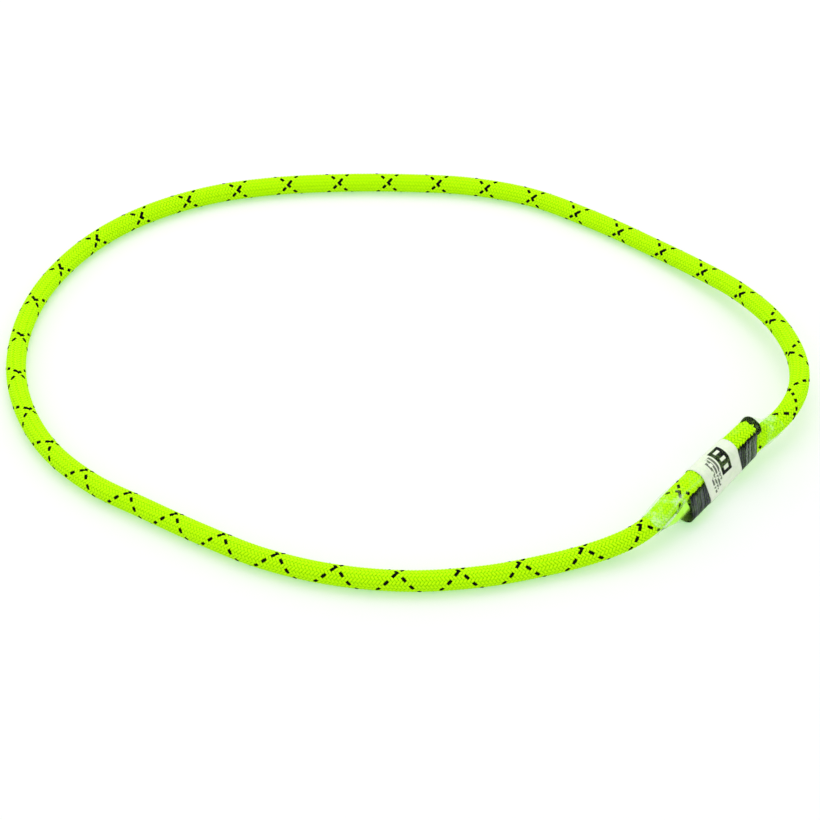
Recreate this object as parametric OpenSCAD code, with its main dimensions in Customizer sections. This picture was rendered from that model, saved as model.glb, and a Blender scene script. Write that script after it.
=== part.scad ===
// Sewn endless loop of dynamic kernmantle climbing rope, lying on a flat surface.
// The two rope ends lie one on the other, are stitched together through their sides, and carry a
// label and a clear shrink sleeve. Millimetres, Z up, origin under the middle of the loop.

/* [Rope] */
// Diameter of the rope
rope_d = 10; // [9.6:0.1:10.4]
// Wall of the braided sheath
sheath_t = 1.1; // [0.9:0.1:1.4]
// Gap between the core bundle and the sheath
core_clearance = 0.15; // [0.05:0.05:0.3]
// Gap between neighbouring core strands
strand_clearance = 0.06; // [0.02:0.02:0.12]
// Thickness of the black seal on each rope end
seal_t = 2.2; // [1:0.2:4]

/* [Loop] */
// Length of the loop as it lies, over the outside of the rope
loop_long = 400; // [360:5:440]
// Width of the loop as it lies, over the outside of the rope
loop_wide = 304; // [280:4:336]

/* [Splice] */
// Length over which the two rope ends lie together
overlap = 58; // [52:1:64]
// How much wider a pressed strand is than the round rope, across the pair
press_spread = 0.4; // [0:0.1:0.8]
// How much lower it is than the round rope, from strand to strand
press_squash = 0.1; // [0:0.1:0.4]
// Gap between the two pressed strands
pair_gap = 0.2; // [0.1:0.05:0.4]
// Length over which the round rope turns into the pressed shape
press_ramp = 14; // [10:1:18]
// Compass heading of the splice, from +X towards +Y
splice_heading = 48; // [44:1:52]
// Rise of the splice towards its upper end
splice_tilt = 5; // [4:0.5:6]
// Lean of the upper strand towards the inside of the loop, at the lower end
lean_low = 27; // [20:1:32]
// The same lean at the upper end
lean_high = 12; // [6:1:18]

/* [Stitching] */
// Diameter of the sewing thread
thread_d = 0.6; // [0.5:0.05:0.7]
// How far the middle of the thread stands off the pressed strands
thread_lift = 0.1; // [0.05:0.05:0.2]
// Distance from one stitch to the next, along the splice
stitch_pitch = 2.7; // [2.4:0.1:3.6]
// Length of the sewn row
stitch_row = 52; // [44:1:54]
// How far each line of needle holes lies inside its strand's own middle
stitch_inset = 0.15; // [0:0.05:0.9]
// How far the row sits below the middle of the pair
stitch_drop = 0.7; // [0:0.1:1]
// Distance from the middle of the rope to the bottom of a stitch
stitch_core = 0.6; // [0.5:0.1:2]

/* [Label] */
// Length of the label along the splice
label_len = 25; // [18:1:30]
// Thickness of the label
label_t = 0.15; // [0.1:0.05:0.3]
// Where the middle of the label sits along the splice
label_shift = -2.5; // [-6:0.5:6]

/* [Sleeve] */
// Wall of the clear shrink sleeve
sleeve_t = 0.35; // [0.25:0.05:0.6]
// Gap between each wrapped layer and the next
layer_gap = 0.12; // [0.05:0.05:0.2]
// Gap between the sleeve and the single rope at its ends
sleeve_gap = 0.3; // [0.25:0.05:0.5]
// Length of sleeve on the single rope past the splice's lower end
sleeve_low = 20; // [16:1:20]
// Length of sleeve on the single rope past the splice's upper end
sleeve_high = 15; // [12:1:20]
// Length over which the sleeve closes down from two strands to one
sleeve_web = 11; // [8:1:12]

/* [Hidden] */
// Free course of the rope from the splice's lower end round to its upper end: X, Y and the height
// at which the rope's middle runs above its height when it lies on the surface. The loop's length
// and width stretch this course.
ROUTE_LONG = 390;           // length that the course spans as it is written
ROUTE_WIDE = 294;           // width that it spans
LOOP = [
    [112, -119, 5], [95, -128, 2], [70, -136, 0], [38, -144, 0], [3, -147, 0], [-32, -143, 0],
    [-64, -133, 0], [-93, -118, 0], [-120, -102, 0], [-147, -85, 0], [-170, -62, 0],
    [-186, -33, 0], [-194, -1, 0], [-193, 34, 0], [-183, 67, 0], [-164, 97, 0], [-138, 120, 0],
    [-106, 136, 0], [-72, 144, 0], [-36, 147, 0], [0, 147, 0], [36, 144, 0], [70, 134, 0],
    [100, 116, 0], [128, 95, 0], [153, 72, 2], [173, 49, 5], [188, 22, 8], [195, -7, 10],
    [193, -30, 10], [184, -47, 8]
];
SPLICE_XY = [148, -83.5];   // middle of the splice, seen from above

ROPE_SIDES = 12;            // sides of the rope's cross-section
STRAND_SIDES = 6;           // sides of a core strand
THREAD_SIDES = 6;           // sides of the sewing thread
LOBE_STEPS = 12;            // steps round half a wrapped layer
RINGS_PER_POINT = 2;        // cross-sections from one point of the course to the next
SPLICE_POINTS = 4;          // points of the course on each strand of the splice
WRAP_STATIONS = 6;          // cross-sections of a wrapped layer along the overlap
FADE_STATIONS = 4;          // cross-sections of the sleeve on each single rope
SLEEVE_FLOOR = 0.1;         // gap between the sleeve and the surface
MIN_LOBE = 0.2;             // smallest step between a wrap's two lobes

INNER_STRANDS = 3;
OUTER_STRANDS = 9;
PACK_RATIO = 4.029;         // bundle radius over strand radius for three strands inside nine

stretch = [(loop_long - rope_d) / ROUTE_LONG, (loop_wide - rope_d) / ROUTE_WIDE];

rope_r = rope_d / 2;
bore_r = rope_r - sheath_t;
bundle_r = (bore_r - core_clearance) * cos(180 / ROPE_SIDES);
strand_cell_r = bundle_r / PACK_RATIO;
strand_r = strand_cell_r - strand_clearance / 2;

pressed_w = rope_d + press_spread;
pressed_h = rope_d - press_squash;
pair_pitch = pressed_h + pair_gap;
stitch_w = pair_pitch - 2 * stitch_inset;
half_overlap = overlap / 2;
thread_out = pressed_w / 2 + thread_lift + thread_d / 2;
label_a = thread_out + layer_gap;
label_b = pressed_h / 2 + layer_gap;
sleeve_a = label_a + label_t + layer_gap;
sleeve_b = label_b + label_t + layer_gap;
sleeve_r = rope_r + sleeve_gap;

// The splice stands just high enough for the sleeve's lower end to clear the surface.
foot_a = (sleeve_a + sleeve_t) * sin(lean_low);
foot_b = (sleeve_b + sleeve_t) * cos(lean_low);
splice_z = half_overlap * sin(splice_tilt) + pair_pitch / 2 * cos(lean_low)
    + norm([foot_a, foot_b]) + SLEEVE_FLOOR;
splice_mid = [SPLICE_XY.x * stretch.x, SPLICE_XY.y * stretch.y, splice_z];
splice_dir = [
    cos(splice_heading) * cos(splice_tilt),
    sin(splice_heading) * cos(splice_tilt),
    sin(splice_tilt)
];
splice_in = [-sin(splice_heading), cos(splice_heading), 0];
splice_up = cross(splice_dir, splice_in);

// ---- Small helpers ----

function strand_name(i) = str("core_strand_", i < 10 ? "0" : "", i);
function unit(v) = v / norm(v);
function held(x) = min(1, max(0, x));
function mix(a, b, t) = a + (b - a) * t;

// ---- The splice's own frame: s along it, x towards the inside of the loop, y up the pair ----

function lean(s) = mix(lean_low, lean_high, held(s / overlap + 0.5));
function pair_y(s) = splice_up * cos(lean(s)) + splice_in * sin(lean(s));
function pair_x(s) = splice_in * cos(lean(s)) - splice_up * sin(lean(s));
function in_splice(s, x, y) = splice_mid + splice_dir * s + pair_x(s) * x + pair_y(s) * y;

// ---- The rope's course: one open curve from the upper end seal to the lower end seal ----

function strand_points(side) = [
    for (k = [SPLICE_POINTS - 1:-1:0])
        in_splice(overlap * (k / (SPLICE_POINTS - 1) - 0.5), 0, side * pair_pitch / 2)
];
COURSE = concat(
    strand_points(1),
    [for (p = LOOP) [p.x * stretch.x, p.y * stretch.y, p.z + rope_r]],
    strand_points(-1)
);
LAST = len(COURSE) - 1;

function course_point(i) =
    i < 0 ? 2 * COURSE[0] - COURSE[1]
    : i > LAST ? 2 * COURSE[LAST] - COURSE[LAST - 1]
    : COURSE[i];

// Catmull-Rom curve through the points, at point number u, which may lie between two points.
function curve(u) =
    let (
        i = min(floor(u), LAST - 1),
        t = u - i,
        a = course_point(i - 1),
        b = course_point(i),
        c = course_point(i + 1),
        d = course_point(i + 2)
    )
    (2 * b + (c - a) * t + (2 * a - 5 * b + 4 * c - d) * t * t
        + (3 * b - a - 3 * c + d) * t * t * t) / 2;
function curve_dir(u) =
    let (
        i = min(floor(u), LAST - 1),
        t = u - i,
        a = course_point(i - 1),
        b = course_point(i),
        c = course_point(i + 1),
        d = course_point(i + 2)
    )
    unit((c - a) + 2 * (2 * a - 5 * b + 4 * c - d) * t + 3 * (3 * b - a - 3 * c + d) * t * t);

// The rope never dips into the surface it lies on.
function course(u) = let (p = curve(u)) [p.x, p.y, max(p.z, rope_r)];

// How far the rope is pressed at u: 1 in the overlap, falling to 0 past its ends.
function pressed(u) =
    let (
        away = norm(course(u) - splice_mid),
        along = sqrt(max(0, away * away - pair_pitch * pair_pitch / 4))
    )
    held((half_overlap + press_ramp - along) / press_ramp);
function roll(u) = lean((course(u) - splice_mid) * splice_dir) * pressed(u);

// The cross-section's own axes at u: x towards the inside of the loop, y upwards.
function section_x(u) =
    let (x = unit(cross(curve_dir(u), [0, 0, 1])), y = cross(x, curve_dir(u)))
    x * cos(roll(u)) - y * sin(roll(u));
function section_y(u) =
    let (x = unit(cross(curve_dir(u), [0, 0, 1])), y = cross(x, curve_dir(u)))
    y * cos(roll(u)) + x * sin(roll(u));

// A circle of radius r about [cx, cy] in the rope's cross-section at u, pressed as the rope is.
function rope_ring(u, cx, cy, r, sides) =
    let (
        p = course(u),
        x = section_x(u) * mix(1, pressed_w / rope_d, pressed(u)),
        y = section_y(u) * mix(1, pressed_h / rope_d, pressed(u))
    )
    [for (k = [0:sides - 1])
        p + x * (cx + r * cos(360 * k / sides)) + y * (cy + r * sin(360 * k / sides))];

// Rings stop at each end seal, which takes the last of the rope's length.
seal_u = seal_t / (overlap / (SPLICE_POINTS - 1));
ROPE_U = concat(
    [seal_u],
    [for (i = [1:LAST * RINGS_PER_POINT - 1]) i / RINGS_PER_POINT],
    [LAST - seal_u]
);

// ---- Closed skins over rings of equal point count, all faces outwards ----

function side_faces(rings, n, first, flip) = [
    for (i = [0:rings - 2], k = [0:n - 1])
        let (
            a = first + i * n + k,
            b = first + i * n + (k + 1) % n,
            c = b + n,
            d = a + n
        )
        each flip ? [[a, c, b], [a, d, c]] : [[a, b, c], [a, c, d]]
];
function rim_faces(outer, inner, n, flip) = [
    for (k = [0:n - 1])
        let (m = (k + 1) % n, a = outer + k, b = outer + m, c = inner + m, d = inner + k)
        each flip ? [[a, b, c], [a, c, d]] : [[a, c, b], [a, d, c]]
];

module solid_skin(rings) {
    n = len(rings[0]);
    last = (len(rings) - 1) * n;
    polyhedron(
        points = [for (ring = rings) each ring],
        faces = concat(
            side_faces(len(rings), n, 0, false),
            [[for (k = [n - 1:-1:0]) k]],
            [[for (k = [0:n - 1]) last + k]]
        )
    );
}

module hollow_skin(outer, inner) {
    n = len(outer[0]);
    count = len(outer);
    bore = count * n;
    polyhedron(
        points = concat([for (ring = outer) each ring], [for (ring = inner) each ring]),
        faces = concat(
            side_faces(count, n, 0, false),
            side_faces(count, n, bore, true),
            rim_faces(0, bore, n, false),
            rim_faces(bore - n, 2 * bore - n, n, true)
        )
    );
}

// ---- Rope ----

module sheath() {
    color([0.70, 0.98, 0.02])
        hollow_skin(
            [for (u = ROPE_U) rope_ring(u, 0, 0, rope_r, ROPE_SIDES)],
            [for (u = ROPE_U) rope_ring(u, 0, 0, bore_r, ROPE_SIDES)]
        );
}

// Three core strands lie round the middle, and nine round them, each inner one between two outer.
function strand_centre(i) =
    i <= INNER_STRANDS
    ? let (turn = 360 * i / INNER_STRANDS, r = strand_cell_r / cos(30))
        [r * cos(turn), r * sin(turn)]
    : let (turn = 360 * (i + 0.5) / OUTER_STRANDS, r = bundle_r - strand_cell_r)
        [r * cos(turn), r * sin(turn)];

module core_strand(i) {
    at = strand_centre(i);
    color([0.95, 0.95, 0.92])
        solid_skin([for (u = ROPE_U) rope_ring(u, at.x, at.y, strand_r, STRAND_SIDES)]);
}

module end_seal(from_u, to_u) {
    color([0.06, 0.06, 0.06])
        solid_skin([for (u = [from_u, to_u]) rope_ring(u, 0, 0, rope_r, ROPE_SIDES)]);
}

module upper_end_seal() {
    end_seal(0, seal_u);
}

module lower_end_seal() {
    end_seal(LAST - seal_u, LAST);
}

// ---- Stitching: a thread that crosses both strands on one face and dips into them at each hole ----

stitch_count = floor(stitch_row / stitch_pitch);

function stitch_path(side) =
    let (face = side * (pressed_w / 2 + thread_lift), deep = side * stitch_core, half = stitch_pitch / 2)
    [for (k = [0:stitch_count * 2 - 1])
        let (
            s = (k - stitch_count) * half,
            from_y = (k % 2 == 0 ? 1 : -1) * stitch_w / 2 - stitch_drop,
            to_y = (k % 2 == 0 ? -1 : 1) * stitch_w / 2 - stitch_drop
        )
        each [
            in_splice(s, deep, from_y),
            in_splice(s, face, from_y),
            in_splice(s + half / 2, face, to_y),
            in_splice(s + half / 2, deep, to_y)
        ]
    ];

function corner_plane(path, i) =
    i == 0 ? unit(path[1] - path[0])
    : i == len(path) - 1 ? unit(path[i] - path[i - 1])
    : unit(unit(path[i] - path[i - 1]) + unit(path[i + 1] - path[i]));
function slid(offsets, dir, plane) = [for (o = offsets) o - dir * ((o * plane) / (dir * plane))];
function squared(offsets, dir) = [for (o = offsets) o - dir * (o * dir)];
function leaving(path, i) = unit(path[min(i + 1, len(path) - 1)] - path[min(i, len(path) - 2)]);

// Mitred rings along a path of straight runs.
function mitred_rings(path, r, sides) =
    let (
        dir0 = unit(path[1] - path[0]),
        e1 = unit(cross(dir0, splice_dir)),
        e2 = cross(e1, dir0),
        start = [for (k = [0:sides - 1]) (e1 * cos(360 * k / sides) + e2 * sin(360 * k / sides)) * r]
    )
    [for (
        i = 0, offsets = start, dir = dir0;
        i < len(path);
        offsets = squared(slid(offsets, dir, corner_plane(path, i)), leaving(path, i)),
            dir = leaving(path, i),
            i = i + 1
    ) [for (o = slid(offsets, dir, corner_plane(path, i))) path[i] + o]];

module stitching(side) {
    color([0.05, 0.05, 0.05])
        solid_skin(mitred_rings(stitch_path(side), thread_d / 2, THREAD_SIDES));
}

module outer_stitching() {
    stitching(-1);
}

module inner_stitching() {
    stitching(1);
}

// ---- Wrapped layers: a half-round lobe over the upper strand and one under the lower strand ----

function wrap_ring(upper, lower, x, y, a, b) = concat(
    [for (k = [0:LOBE_STEPS]) let (t = 180 * k / LOBE_STEPS) upper + x * (a * cos(t)) + y * (b * sin(t))],
    [for (k = [0:LOBE_STEPS]) let (t = 180 + 180 * k / LOBE_STEPS)
        lower + x * (a * cos(t)) + y * (b * sin(t))]
);
function overlap_ring(s, a, b) = wrap_ring(
    in_splice(s, 0, pair_pitch / 2), in_splice(s, 0, -pair_pitch / 2), pair_x(s), pair_y(s), a, b
);

module label() {
    stations = [for (k = [0:WRAP_STATIONS - 1]) label_shift + label_len * (0.5 - k / (WRAP_STATIONS - 1))];
    color([0.96, 0.95, 0.88])
        hollow_skin(
            [for (s = stations) overlap_ring(s, label_a + label_t, label_b + label_t)],
            [for (s = stations) overlap_ring(s, label_a, label_b)]
        );
}

// Past an end of the overlap the sleeve follows the one strand that goes on, and the lobe of the
// strand that has ended closes down onto it.
function lobe_step(v) = max(MIN_LOBE, pair_pitch * (1 - v / sleeve_web));
function fade_ring(u, v, up, wall) =
    let (
        p = course(u),
        x = section_x(u),
        y = section_y(u),
        a = mix(sleeve_r, sleeve_a, pressed(u)) + wall,
        b = mix(sleeve_r, sleeve_b, pressed(u)) + wall
    )
    up ? wrap_ring(p + y * lobe_step(v), p, x, y, a, b)
    : wrap_ring(p, p - y * lobe_step(v), x, y, a, b);

// Point numbers of the course where the sleeve's single-rope stretches run.
low_from = SPLICE_POINTS - 1;
low_rate = 1 / norm(COURSE[low_from + 1] - COURSE[low_from]);
high_from = LAST - SPLICE_POINTS + 1;
high_rate = 1 / norm(COURSE[high_from - 1] - COURSE[high_from]);

function sleeve_rings(wall) = concat(
    [for (k = [FADE_STATIONS:-1:1]) let (v = sleeve_high * k / FADE_STATIONS)
        fade_ring(high_from - v * high_rate, v, true, wall)],
    [for (k = [0:WRAP_STATIONS - 1])
        overlap_ring(overlap * (0.5 - k / (WRAP_STATIONS - 1)), sleeve_a + wall, sleeve_b + wall)],
    [for (k = [1:FADE_STATIONS]) let (v = sleeve_low * k / FADE_STATIONS)
        fade_ring(low_from + v * low_rate, v, false, wall)]
);

module shrink_sleeve() {
    color([0.92, 0.96, 0.97, 0.35])
        hollow_skin(sleeve_rings(sleeve_t), sleeve_rings(0));
}

// ---- Assembly ----

sheath();
for (i = [1:INNER_STRANDS + OUTER_STRANDS])
    core_strand(i);
upper_end_seal();
lower_end_seal();
outer_stitching();
inner_stitching();
label();
shrink_sleeve();
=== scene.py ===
"""Looks of a sewn loop of dynamic climbing rope: braided sheath, splice, label and clear sleeve.

Everything is in metres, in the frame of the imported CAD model. The sheath is made of its 32
interlaced yarns, which a Geometry Nodes tree lays along the rope's course.
"""

import functools
import logging
import math
from dataclasses import dataclass
from enum import Enum
from typing import Any, Iterable, Union

import bpy
import numpy as np
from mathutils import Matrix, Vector


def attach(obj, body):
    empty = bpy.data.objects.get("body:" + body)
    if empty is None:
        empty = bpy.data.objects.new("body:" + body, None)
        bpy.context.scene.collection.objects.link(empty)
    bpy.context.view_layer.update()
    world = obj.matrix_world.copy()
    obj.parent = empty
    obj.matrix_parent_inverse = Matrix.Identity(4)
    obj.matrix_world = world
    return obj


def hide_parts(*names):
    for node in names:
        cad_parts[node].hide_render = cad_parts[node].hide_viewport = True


BODY = "root"

# Half the width and height of the inner face of what is wrapped round a strand of the splice.
LABEL_HALF_W = 0.00572
LABEL_HALF_T = 0.00507
SLEEVE_HALF_W = 0.00599
SLEEVE_HALF_T = 0.00534

log = logging.getLogger("rope_loop")

Array = np.ndarray
Color = tuple[float, float, float]
Face = tuple[int, ...]
Socket = Union[str, int]

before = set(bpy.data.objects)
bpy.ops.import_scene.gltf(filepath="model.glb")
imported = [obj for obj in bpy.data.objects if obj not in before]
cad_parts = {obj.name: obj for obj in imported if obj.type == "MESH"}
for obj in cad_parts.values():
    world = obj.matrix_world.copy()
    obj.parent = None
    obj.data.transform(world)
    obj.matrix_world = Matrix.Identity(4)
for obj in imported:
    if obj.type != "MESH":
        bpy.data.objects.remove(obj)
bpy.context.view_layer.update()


# ---- The rope's course -------------------------------------------------------------------------


def held(value: Array) -> Array:
    """Return the value, held between 0 and 1."""
    return np.clip(value, 0.0, 1.0)


def eased(value: Array) -> Array:
    """Return a smooth step from 0 to 1 of a value that is first held between 0 and 1."""
    part = held(value)
    return part * part * (3 - 2 * part)


def unit(vectors: Array) -> Array:
    """Return the vectors at length one."""
    return vectors / np.linalg.norm(vectors, axis=-1, keepdims=True)


class Side(Enum):
    """Which of the splice's two strands is meant."""

    UPPER = 1
    LOWER = -1


@dataclass(frozen=True)
class Sections:
    """Cross-sections of the rope: middle points, the two axes and the press."""

    middle: Array
    inward: Array
    upward: Array
    pressed: Array


@dataclass(frozen=True)
class SpliceFrame:
    """The splice's own frame: s along it, x towards the inside of the loop, y up the pair."""

    middle: tuple[float, float, float] = (0.148, -0.0835, 0.012957)
    heading: float = math.radians(48)
    tilt: float = math.radians(5)
    lean_low: float = math.radians(27)
    lean_high: float = math.radians(12)
    overlap: float = 0.058
    pair_pitch: float = 0.0101

    @property
    def ahead(self) -> Array:
        """Return the direction of the splice, towards its upper end."""
        flat = math.cos(self.tilt)
        return np.array(
            [math.cos(self.heading) * flat, math.sin(self.heading) * flat, math.sin(self.tilt)]
        )

    @property
    def inward(self) -> Array:
        """Return the level direction towards the inside of the loop."""
        return np.array([-math.sin(self.heading), math.cos(self.heading), 0.0])

    @property
    def upward(self) -> Array:
        """Return the direction square to the other two."""
        return np.cross(self.ahead, self.inward)

    def lean(self, s: Array) -> Array:
        """Return how far the pair leans inwards at s, in radians."""
        return self.lean_low + (self.lean_high - self.lean_low) * held(s / self.overlap + 0.5)

    def pair_x(self, s: Array) -> Array:
        """Return the axis across the pair at each s."""
        lean = self.lean(np.asarray(s, float))[..., None]
        return self.inward * np.cos(lean) - self.upward * np.sin(lean)

    def pair_y(self, s: Array) -> Array:
        """Return the axis from the lower strand to the upper one at each s."""
        lean = self.lean(np.asarray(s, float))[..., None]
        return self.upward * np.cos(lean) + self.inward * np.sin(lean)

    def point(self, s: Array, x: Array, y: Array) -> Array:
        """Return points of the splice in the part's frame.

        Args:
            s: Distance along the splice from its middle.
            x: Distance towards the inside of the loop.
            y: Distance up the pair.

        Returns:
            One point for each set of distances.
        """
        s, x, y = np.broadcast_arrays(*(np.asarray(v, float) for v in (s, x, y)))
        across = self.pair_x(s) * x[..., None] + self.pair_y(s) * y[..., None]
        return np.array(self.middle) + self.ahead * s[..., None] + across


@dataclass(frozen=True)
class RopeCourse:
    """The rope's course: one open curve from the upper end seal round to the lower one."""

    splice: SpliceFrame = SpliceFrame()
    rope_d: float = 0.010
    press_spread: float = 0.0004
    press_squash: float = 0.0001
    press_ramp: float = 0.014
    strand_points: int = 4
    fine_steps: int = 160
    # Free course from the splice's lower end round to its upper end: X, Y and the height at which
    # the rope's middle runs above its height when it lies on the surface.
    route: tuple[tuple[float, float, float], ...] = (
        (0.112, -0.119, 0.005), (0.095, -0.128, 0.002), (0.070, -0.136, 0), (0.038, -0.144, 0),
        (0.003, -0.147, 0), (-0.032, -0.143, 0), (-0.064, -0.133, 0), (-0.093, -0.118, 0),
        (-0.120, -0.102, 0), (-0.147, -0.085, 0), (-0.170, -0.062, 0), (-0.186, -0.033, 0),
        (-0.194, -0.001, 0), (-0.193, 0.034, 0), (-0.183, 0.067, 0), (-0.164, 0.097, 0),
        (-0.138, 0.120, 0), (-0.106, 0.136, 0), (-0.072, 0.144, 0), (-0.036, 0.147, 0),
        (0, 0.147, 0), (0.036, 0.144, 0), (0.070, 0.134, 0), (0.100, 0.116, 0),
        (0.128, 0.095, 0), (0.153, 0.072, 0.002), (0.173, 0.049, 0.005), (0.188, 0.022, 0.008),
        (0.195, -0.007, 0.010), (0.193, -0.030, 0.010), (0.184, -0.047, 0.008),
    )

    @property
    def rope_r(self) -> float:
        """Return the rope's radius."""
        return self.rope_d / 2

    @property
    def points(self) -> Array:
        """Return the course's points: upper strand, free course, lower strand."""
        shares = np.arange(self.strand_points)[::-1] / (self.strand_points - 1) - 0.5
        ends = [
            self.splice.point(self.splice.overlap * shares, 0.0, side.value * self.splice.pair_pitch / 2)
            for side in Side
        ]
        free = np.array(self.route) + [0, 0, self.rope_r]
        return np.vstack([ends[0], free, ends[1]])

    @property
    def last(self) -> int:
        """Return the number of the course's last point."""
        return len(self.route) + 2 * self.strand_points - 1

    def sections(self, u: Array) -> Sections:
        """Return cross-sections at point numbers u, which may lie between two points.

        Args:
            u: Point numbers along the course.

        Returns:
            The cross-sections, rolled and pressed as the splice asks.
        """
        points = self.points
        points = np.vstack([2 * points[0] - points[1], points, 2 * points[-1] - points[-2]])
        first = np.clip(np.floor(u).astype(int), 0, self.last - 1)
        t = (u - first)[:, None]
        a, b, c, d = (points[first + k] for k in range(4))
        second, third = 2 * a - 5 * b + 4 * c - d, 3 * b - a - 3 * c + d
        middle = (2 * b + (c - a) * t + second * t**2 + third * t**3) / 2
        middle[:, 2] = np.maximum(middle[:, 2], self.rope_r)
        ahead = unit((c - a) + 2 * second * t + 3 * third * t**2)
        from_splice = middle - np.array(self.splice.middle)
        away = np.linalg.norm(from_splice, axis=1)
        along = np.sqrt(np.maximum(0, away**2 - self.splice.pair_pitch**2 / 4))
        pressed = held((self.splice.overlap / 2 + self.press_ramp - along) / self.press_ramp)
        roll = (self.splice.lean(from_splice @ self.splice.ahead) * pressed)[:, None]
        level = unit(np.cross(ahead, [0, 0, 1.0]))
        up = np.cross(level, ahead)
        return Sections(
            middle,
            level * np.cos(roll) - up * np.sin(roll),
            up * np.cos(roll) + level * np.sin(roll),
            pressed,
        )

    def u_at(self, run: Array) -> Array:
        """Return the point numbers at which the course has run the given lengths."""
        fine = np.linspace(0, self.last, self.last * self.fine_steps + 1)
        return np.interp(run, self.runs(fine), fine)

    def runs(self, u: Array) -> Array:
        """Return the length that the course has run at each of the rising point numbers."""
        steps = np.linalg.norm(np.diff(self.sections(u).middle, axis=0), axis=1)
        return np.concatenate([[0.0], np.cumsum(steps)])

    @property
    def length(self) -> float:
        """Return the rope's whole length."""
        return float(self.runs(np.linspace(0, self.last, self.last * self.fine_steps + 1))[-1])


# ---- Formulas as nodes -------------------------------------------------------------------------


def feed(tree: bpy.types.NodeTree, socket: bpy.types.NodeSocket, value: Any) -> None:
    """Link a field or socket into a socket, or set the socket's own value.

    Args:
        tree: The node tree that holds the socket.
        socket: The input that takes the value.
        value: A Field, an output socket or a plain value.
    """
    if isinstance(value, Field):
        tree.links.new(value.socket, socket)
    elif isinstance(value, bpy.types.NodeSocket):
        tree.links.new(value, socket)
    else:
        socket.default_value = value


@dataclass(frozen=True)
class Field:
    """A value in a node tree, written so that a formula of nodes reads as a formula."""

    tree: bpy.types.NodeTree
    socket: bpy.types.NodeSocket

    def maths(self, operation: str, *others: Any) -> "Field":
        """Return the result of a Math node whose first input is this field."""
        node = self.tree.nodes.new("ShaderNodeMath")
        node.operation = operation
        for socket, value in zip(node.inputs, (self, *others)):
            feed(self.tree, socket, value)
        return Field(self.tree, node.outputs[0])

    def __add__(self, other: Any) -> "Field":
        """Return the sum."""
        return self.maths("ADD", other)

    def __sub__(self, other: Any) -> "Field":
        """Return the difference."""
        return self.maths("SUBTRACT", other)

    def __rsub__(self, other: float) -> "Field":
        """Return a plain value less this one."""
        return self * -1.0 + other

    def __mul__(self, other: Any) -> "Field":
        """Return the product."""
        return self.maths("MULTIPLY", other)

    def __truediv__(self, other: Any) -> "Field":
        """Return the quotient."""
        return self.maths("DIVIDE", other)

    def cos(self) -> "Field":
        """Return the cosine."""
        return self.maths("COSINE")

    def sin(self) -> "Field":
        """Return the sine."""
        return self.maths("SINE")

    def clamped(self) -> "Field":
        """Return the value held between 0 and 1."""
        return self.maths("MAXIMUM", 0.0).maths("MINIMUM", 1.0)

    def above(self, edge: float, softness: float) -> "Field":
        """Return 0 below an edge and 1 above it, with a soft step of the given width."""
        return ((self - edge) / softness + 0.5).clamped()

    def within(self, low: float, high: float, softness: float) -> "Field":
        """Return 1 between two edges and 0 outside them."""
        return self.above(low, softness) * (1.0 - self.above(high, softness))

    def times(self, factor: "Field") -> "Field":
        """Return this vector, scaled by a value."""
        node = self.tree.nodes.new("ShaderNodeVectorMath")
        node.operation = "SCALE"
        feed(self.tree, node.inputs["Vector"], self)
        feed(self.tree, node.inputs["Scale"], factor)
        return Field(self.tree, node.outputs["Vector"])

    def plus(self, other: Any) -> "Field":
        """Return the sum of this vector and another."""
        node = self.tree.nodes.new("ShaderNodeVectorMath")
        node.operation = "ADD"
        for socket, value in zip(node.inputs, (self, other)):
            feed(self.tree, socket, value)
        return Field(self.tree, node.outputs["Vector"])


def greatest(fields: Iterable[Field]) -> Field:
    """Return the greatest of several fields."""
    return functools.reduce(lambda one, other: one.maths("MAXIMUM", other), fields)


def mixed(tree: bpy.types.NodeTree, mask: Field, low: Any, high: Any) -> Field:
    """Return a colour that goes from one to another as a mask rises.

    Args:
        tree: The material's tree.
        mask: Values from 0 to 1.
        low: The colour at 0, plain or as a field.
        high: The colour at 1, plain or as a field.

    Returns:
        The colour as a field.
    """
    mix = tree.nodes.new("ShaderNodeMix")
    mix.data_type = "RGBA"
    feed(tree, mix.inputs["Factor"], mask)
    for name, color in (("A", low), ("B", high)):
        feed(tree, mix.inputs[name], color if isinstance(color, Field) else (*color, 1.0))
    return Field(tree, mix.outputs["Result"])


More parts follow.
